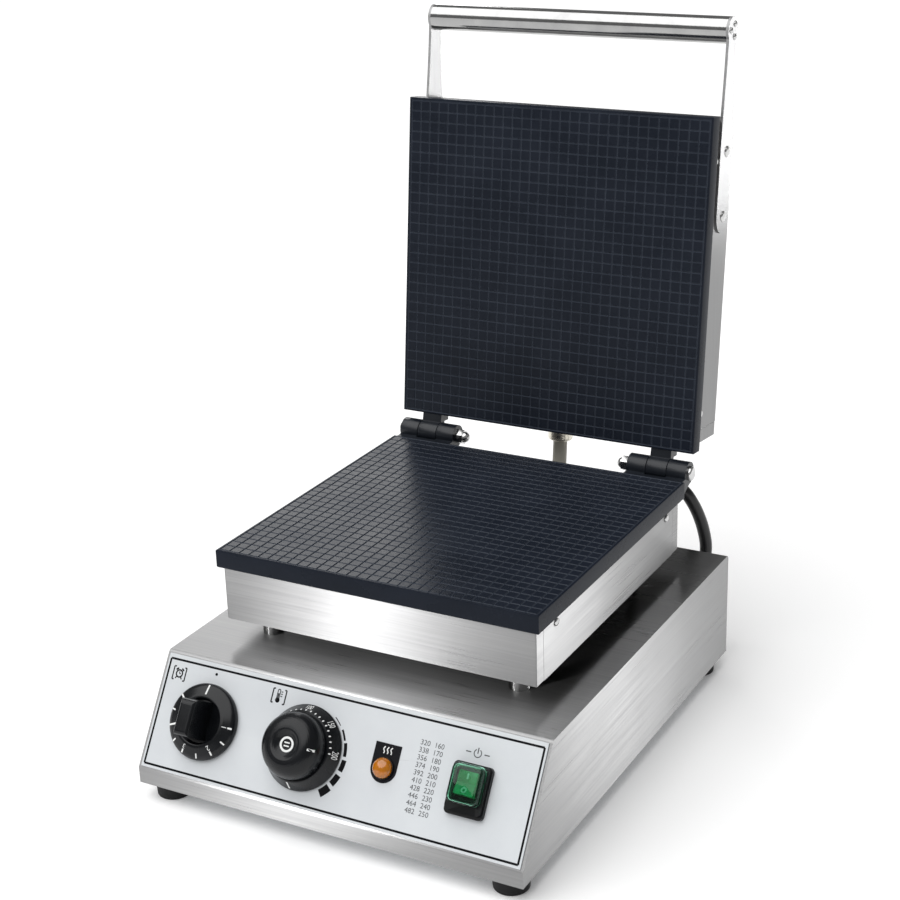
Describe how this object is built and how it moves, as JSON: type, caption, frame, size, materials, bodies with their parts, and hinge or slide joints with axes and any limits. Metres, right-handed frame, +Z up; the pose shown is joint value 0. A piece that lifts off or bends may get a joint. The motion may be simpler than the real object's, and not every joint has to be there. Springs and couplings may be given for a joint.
{
  "type": "waffle maker",
  "caption": "Counter-top cone waffle maker with square grooved plates, a rear-hinged lid with a bar handle, and a sloped control panel.",
  "frame": {"origin": "middle of the bounding box of the open machine, on the table the feet rest on", "axes": "+Z up, +X to the right as the user stands at the controls, +Y from the controls to the hinges"},
  "size_m": [0.286, 0.4238, 0.4738],
  "materials": {
    "brushed_steel": "fine straight brushing",
    "bright_steel": "bright turned stainless steel",
    "polished_tube": "polished stainless tube",
    "hinge_black": "cast hinge with dark satin coating",
    "zinc_steel": "zinc-plated sheet",
    "cast_plate": "cast aluminium with dark non-stick coating",
    "element_sheath": "heat-tinted steel sheath",
    "mineral_wool": "mineral wool board",
    "rubber": "matt black rubber",
    "fascia": "satin silver-white printed sheet",
    "label_black": "black printed foil",
    "black_plastic": "black moulded nylon",
    "knob_plastic": "black phenolic, satin",
    "cream_plastic": "cream moulded thermoset",
    "amber_lens": "translucent amber polycarbonate",
    "green_rocker": "translucent green polycarbonate",
    "clear_cover": "clear soft splash cover with a green cast",
    "nickel_brass": "nickel-plated brass",
    "silicone_sleeve": "grey-green silicone sleeve",
    "lead_rubber": "black rubber-sheathed lead",
    "copper_bulb": "copper capillary bulb"
  },
  "bodies": {
    "base": {"base_housing": "brushed_steel", "bottom_plate": "zinc_steel", "rear_panel": "brushed_steel", "rear_panel_screws": "bright_steel", "feet": "rubber", "foot_bolts": "bright_steel", "control_fascia": "fascia", "lamp_label": "label_black", "lamp_body": "black_plastic", "lamp_lens": "amber_lens", "switch_body": "black_plastic", "switch_cover": "clear_cover", "timer_body": "cream_plastic", "thermostat_body": "zinc_steel", "control_nuts": "bright_steel", "lower_plate": "cast_plate", "lower_heater": "element_sheath", "lower_heater_clamp": "zinc_steel", "lower_insulation": "mineral_wool", "lower_casing": "brushed_steel", "lower_side_panels": "brushed_steel", "lower_casing_screws": "bright_steel", "lower_studs": "bright_steel", "casing_spacers": "bright_steel", "stud_nuts": "bright_steel", "wire_conduit": "bright_steel", "lower_hinge_brackets": "hinge_black", "lower_hinge_screws": "bright_steel", "hinge_pins": "bright_steel", "hinge_acorn_nuts": "bright_steel", "base_lead_gland": "black_plastic", "mains_gland": "black_plastic", "lid_lead": "lead_rubber", "terminal_block": "cream_plastic", "thermostat_bulb": "copper_bulb"},
    "lid": {"upper_hinge_brackets": "hinge_black", "upper_hinge_screws": "bright_steel", "upper_plate": "cast_plate", "upper_heater": "element_sheath", "upper_heater_clamp": "zinc_steel", "upper_insulation": "mineral_wool", "upper_casing": "brushed_steel", "upper_side_panels": "brushed_steel", "upper_casing_screws": "bright_steel", "upper_studs": "bright_steel", "upper_stud_nuts": "bright_steel", "handle_arms": "brushed_steel", "handle_arm_screws": "bright_steel", "handle_bar": "polished_tube", "handle_plugs": "bright_steel", "handle_rivets": "bright_steel", "lid_gland": "nickel_brass", "lid_sleeve": "silicone_sleeve"},
    "timer_control": {"timer_knob": "knob_plastic", "timer_shaft": "bright_steel"},
    "thermostat_control": {"thermostat_dial": "knob_plastic", "thermostat_cap": "knob_plastic", "thermostat_shaft": "bright_steel"},
    "switch_control": {"switch_rocker": "green_rocker"}
  },
  "joints": [
    {"name": "lid_hinge", "type": "hinge", "parent": "base", "child": "lid", "pos_m": [0, 0.1234, 0.158], "axis": [1, 0, 0], "range_deg": [0, 96.6], "deforming": ["lid_lead"]},
    {"name": "timer_turn", "type": "hinge", "parent": "base", "child": "timer_control", "pos_m": [-0.1005, -0.18249, 0.05651], "axis": [0, -0.8377, 0.5461], "range_deg": [-300, 0]},
    {"name": "thermostat_turn", "type": "hinge", "parent": "base", "child": "thermostat_control", "pos_m": [-0.0232, -0.18249, 0.05651], "axis": [0, -0.8377, 0.5461], "range_deg": [-270, 0]},
    {"name": "rocker_tilt", "type": "hinge", "parent": "base", "child": "switch_control", "pos_m": [0.0973, -0.18451, 0.06164], "axis": [1, 0, 0], "range_deg": [0, 18]}
  ]
}
